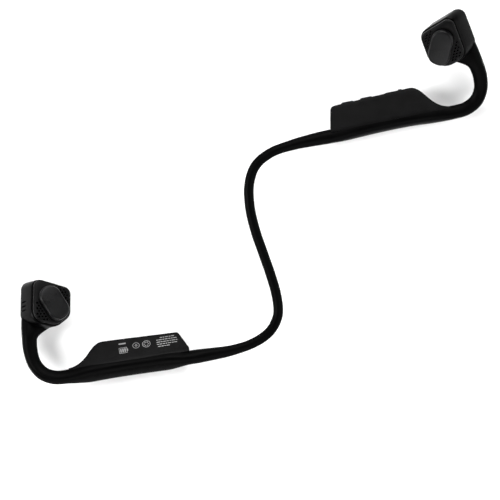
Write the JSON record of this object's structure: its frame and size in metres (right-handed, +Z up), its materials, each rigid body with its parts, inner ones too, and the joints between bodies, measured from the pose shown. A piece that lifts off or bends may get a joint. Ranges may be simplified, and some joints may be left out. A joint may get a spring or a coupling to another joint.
{
  "type": "bone conduction headphones",
  "caption": "Wireless bone conduction headset: thin sprung neckband, two ear hooks with transducer pods, battery and control housings, laid flat in an S.",
  "frame": {"origin": "centre of the bounding box in plan, on the plane the headset lies on", "axes": "+Z up from the table, +X and +Y across it; the left unit lies towards -X -Y, the right unit towards +X +Y"},
  "size_m": [0.2243, 0.1799, 0.0313],
  "materials": {
    "silicone": "matt, very dark grey, soft to the touch",
    "shell_plastic": "fine matt texture, near black",
    "cover_plastic": "satin, near black",
    "pad_rubber": "smooth matt, charcoal",
    "titanium": "drawn wire",
    "steel": "stamped",
    "copper": "enamelled winding",
    "circuit_board": "green solder resist",
    "battery_foil": "soft pouch foil",
    "button_plastic": "fine matt"
  },
  "bodies": {
    "left_housing": {"left_outer_shell": "shell_plastic", "left_inner_cover": "cover_plastic", "left_spine_skin": "silicone", "left_spine_wire": "titanium", "battery": "battery_foil", "protection_board": "circuit_board"},
    "left_pod": {"left_pod_shell": "shell_plastic", "left_pod_cover": "cover_plastic", "left_hook_skin": "silicone", "left_hook_wire": "titanium", "left_hook_cable": "button_plastic", "left_transducer_yoke": "steel", "left_transducer_magnet": "steel", "microphone": "steel", "multifunction_switch": "steel"},
    "left_transducer": {"left_contact_pad": "pad_rubber", "left_voice_coil": "copper", "left_spring_plate": "steel"},
    "right_housing": {"right_outer_shell": "shell_plastic", "right_inner_cover": "cover_plastic", "right_spine_skin": "silicone", "right_spine_wire": "titanium", "main_board": "circuit_board", "wireless_module": "steel", "charge_port": "steel", "volume_up_switch": "steel", "volume_down_switch": "steel"},
    "right_pod": {"right_pod_shell": "shell_plastic", "right_pod_cover": "cover_plastic", "right_hook_skin": "silicone", "right_hook_wire": "titanium", "right_hook_cable": "button_plastic", "right_transducer_yoke": "steel", "right_transducer_magnet": "steel", "right_accent_plate": "button_plastic"},
    "right_transducer": {"right_contact_pad": "pad_rubber", "right_voice_coil": "copper", "right_spring_plate": "steel"},
    "multifunction_button": {"multifunction_button": "button_plastic"},
    "volume_up_button": {"volume_up_button": "pad_rubber"},
    "volume_down_button": {"volume_down_button": "pad_rubber"},
    "port_cover": {"port_cover": "pad_rubber"},
    "left_leg": {"left_leg_sleeve": "silicone", "left_leg_wire": "titanium", "left_leg_cable": "button_plastic"},
    "left_mid": {"left_mid_sleeve": "silicone", "left_mid_wire": "titanium", "left_mid_cable": "button_plastic"},
    "right_mid": {"right_mid_sleeve": "silicone", "right_mid_wire": "titanium", "right_mid_cable": "button_plastic"},
    "right_leg": {"right_leg_sleeve": "silicone", "right_leg_wire": "titanium", "right_leg_cable": "button_plastic"}
  },
  "joints": [
    {"name": "left_roll", "type": "hinge", "parent": "left_housing", "child": "left_leg", "pos_m": [-0.03035, -0.07668, 0.01363], "axis": [0.9885, 0.1513, 0], "range_deg": [0, 53], "stiffness_Nm_per_rad": 0.05},
    {"name": "left_bend", "type": "hinge", "parent": "left_leg", "child": "left_mid", "pos_m": [0.01047, -0.05907, 0.01258], "axis": [0, 0, -1], "range_deg": [0, 25], "stiffness_Nm_per_rad": 0.3},
    {"name": "neckband_twist", "type": "hinge", "parent": "left_mid", "child": "right_mid", "pos_m": [-0.00071, -0.01194, 0.01031], "axis": [0.2549, -0.9658, 0.0471], "range_deg": [0, 180], "stiffness_Nm_per_rad": 0.1},
    {"name": "right_bend", "type": "hinge", "parent": "right_mid", "child": "right_leg", "pos_m": [0.00443, 0.0192, 0.00893], "axis": [0, 0, 1], "range_deg": [0, 25], "stiffness_Nm_per_rad": 0.3},
    {"name": "right_roll", "type": "hinge", "parent": "right_leg", "child": "right_housing", "pos_m": [0.03685, 0.02937, 0.00833], "axis": [0.9803, 0.1977, 0], "range_deg": [0, 96], "stiffness_Nm_per_rad": 0.05},
    {"name": "left_hook_flex", "type": "hinge", "parent": "left_housing", "child": "left_pod", "pos_m": [-0.08977, -0.08601, 0.01381], "axis": [0.9885, 0.1513, 0], "range_deg": [-15, 10], "stiffness_Nm_per_rad": 0.25},
    {"name": "left_transducer_travel", "type": "slide", "parent": "left_pod", "child": "left_transducer", "axis": [0.2036, 0.2686, 0.9415], "range_m": [-0.00015, 0.00015], "stiffness_N_per_m": 400},
    {"name": "right_hook_flex", "type": "hinge", "parent": "right_housing", "child": "right_pod", "pos_m": [0.09588, 0.04097, 0.00838], "axis": [0.9803, 0.1977, 0], "range_deg": [-15, 10], "stiffness_Nm_per_rad": 0.25},
    {"name": "right_transducer_travel", "type": "slide", "parent": "right_pod", "child": "right_transducer", "axis": [-0.1908, -0.2779, 0.9415], "range_m": [-0.00015, 0.00015], "stiffness_N_per_m": 400},
    {"name": "multifunction_press", "type": "slide", "parent": "left_pod", "child": "multifunction_button", "axis": [0.2036, 0.2686, 0.9415], "range_m": [0, 0.0005], "stiffness_N_per_m": 800},
    {"name": "volume_up_press", "type": "slide", "parent": "right_housing", "child": "volume_up_button", "axis": [0.1947, -0.9654, 0.1736], "range_m": [0, 0.0004], "stiffness_N_per_m": 600},
    {"name": "volume_down_press", "type": "slide", "parent": "right_housing", "child": "volume_down_button", "axis": [0.1947, -0.9654, 0.1736], "range_m": [0, 0.0004], "stiffness_N_per_m": 600},
    {"name": "port_cover_open", "type": "hinge", "parent": "right_housing", "child": "port_cover", "pos_m": [0.06246, 0.04985, 0.00436], "axis": [-0.0343, 0.1702, 0.9848], "range_deg": [0, 110]}
  ],
  "couplings": [
    {"joint": "left_roll", "follows": "neckband_twist", "ratio": 0.28889},
    {"joint": "right_roll", "follows": "neckband_twist", "ratio": 0.52778}
  ]
}
